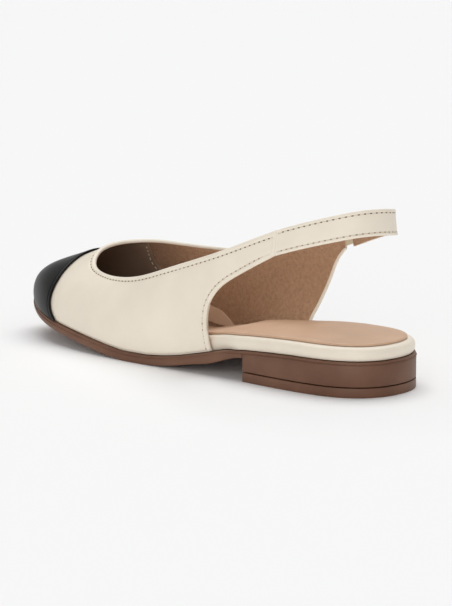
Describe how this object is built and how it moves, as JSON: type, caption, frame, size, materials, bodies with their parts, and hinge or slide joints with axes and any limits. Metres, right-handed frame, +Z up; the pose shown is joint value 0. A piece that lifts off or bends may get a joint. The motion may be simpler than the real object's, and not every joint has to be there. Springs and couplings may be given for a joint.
{
  "type": "sling back flat shoe",
  "caption": "Left sling back flat with a cream leather upper, black toe cap, open back with a heel strap and a low brown block heel.",
  "frame": {"origin": "middle of the heel's resting face, on the floor", "axes": "+Y from the heel to the toe, +X to the inner side of the left foot, +Z up"},
  "size_m": [0.0769, 0.2523, 0.0866],
  "materials": {
    "outsole": "satin moulded rubber",
    "heel_block": "satin moulded rubber",
    "top_lift": "satin moulded rubber",
    "footbed": "smooth leather wrap",
    "insole_sock": "matt leather sock",
    "upper": "smooth leather, soft sheen",
    "toe_cap": "smooth leather, semi-gloss",
    "heel_strap": "smooth leather, stitched edges",
    "elastic_gore": "woven elastic"
  },
  "bodies": {
    "root": {"outsole": "outsole", "heel_block": "heel_block", "top_lift": "top_lift", "footbed": "footbed", "insole_sock": "insole_sock", "upper": "upper", "toe_cap": "toe_cap", "heel_strap": "heel_strap", "elastic_gore": "elastic_gore"}
  },
  "joints": []
}
